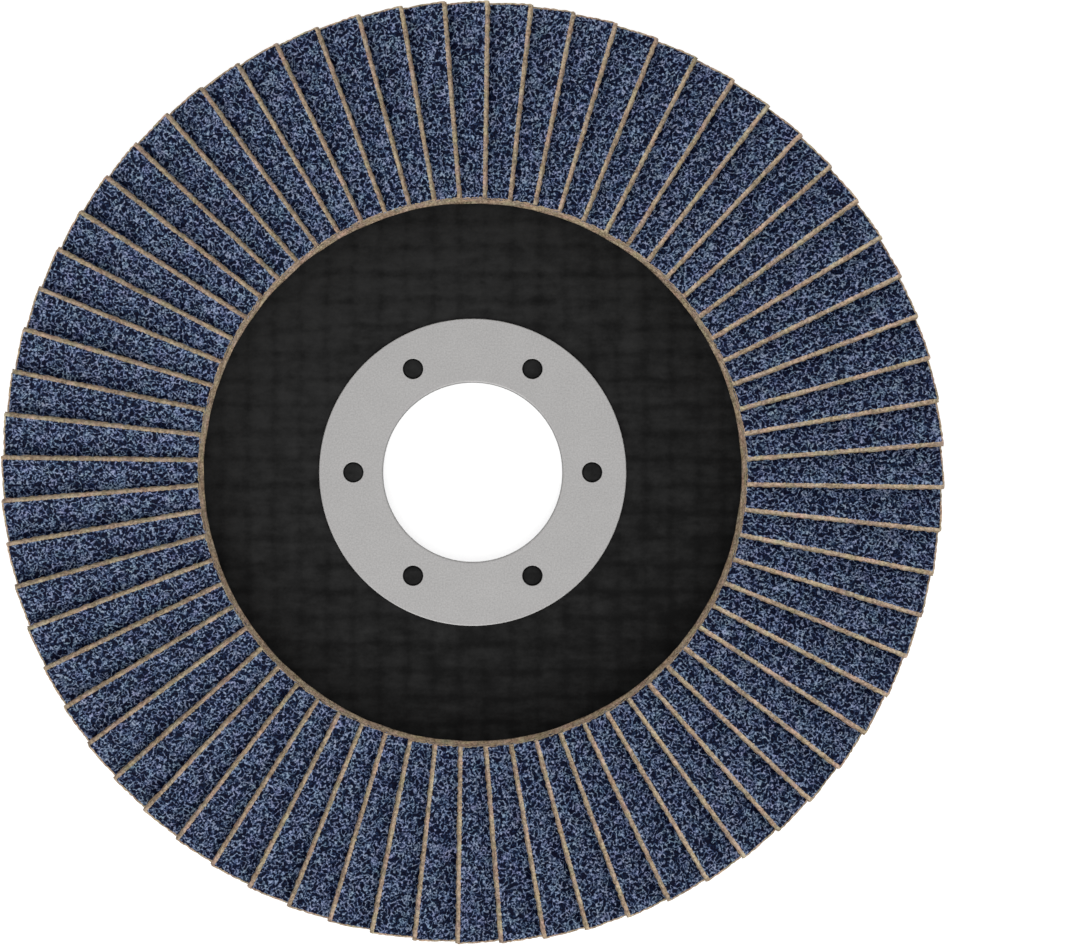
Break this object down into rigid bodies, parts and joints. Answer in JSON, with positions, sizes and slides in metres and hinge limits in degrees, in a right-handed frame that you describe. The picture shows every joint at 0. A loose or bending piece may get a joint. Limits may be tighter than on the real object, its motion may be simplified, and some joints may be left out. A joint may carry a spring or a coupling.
{
  "type": "flap disc",
  "caption": "Flap disc for an angle grinder: abrasive cloth flaps fanned and overlapping round a flat backing plate, with a steel ring round its bore.",
  "frame": {"origin": "centre of the bore in the rear face of the hub, on which the disc lies", "axes": "+Z along the spindle axis from the machine side towards the abrasive face; +Y is up in the picture of the abrasive face; +X is to its right"},
  "size_m": [0.115, 0.115, 0.0099],
  "materials": {
    "resin_cloth": "matte",
    "zinc_steel": "satin",
    "adhesive": "matte",
    "abrasive_cloth": "coarse grain"
  },
  "bodies": {
    "root": {"adhesive_bed": "adhesive", "backing_plate": "resin_cloth", "flap_pair_01": "abrasive_cloth", "flap_pair_02": "abrasive_cloth", "flap_pair_03": "abrasive_cloth", "flap_pair_04": "abrasive_cloth", "flap_pair_05": "abrasive_cloth", "flap_pair_06": "abrasive_cloth", "flap_pair_07": "abrasive_cloth", "flap_pair_08": "abrasive_cloth", "flap_pair_09": "abrasive_cloth", "flap_pair_10": "abrasive_cloth", "flap_pair_11": "abrasive_cloth", "flap_pair_12": "abrasive_cloth", "flap_pair_13": "abrasive_cloth", "flap_pair_14": "abrasive_cloth", "flap_pair_15": "abrasive_cloth", "flap_pair_16": "abrasive_cloth", "flap_pair_17": "abrasive_cloth", "flap_pair_18": "abrasive_cloth", "flap_pair_19": "abrasive_cloth", "flap_pair_20": "abrasive_cloth", "flap_pair_21": "abrasive_cloth", "flap_pair_22": "abrasive_cloth", "flap_pair_23": "abrasive_cloth", "flap_pair_24": "abrasive_cloth", "flap_pair_25": "abrasive_cloth", "flap_pair_26": "abrasive_cloth", "flap_pair_27": "abrasive_cloth", "flap_pair_28": "abrasive_cloth", "flap_pair_29": "abrasive_cloth", "flap_pair_30": "abrasive_cloth", "flap_pair_31": "abrasive_cloth", "flap_pair_32": "abrasive_cloth", "flap_pair_33": "abrasive_cloth", "flap_pair_34": "abrasive_cloth", "hub_ring": "zinc_steel"}
  },
  "joints": []
}
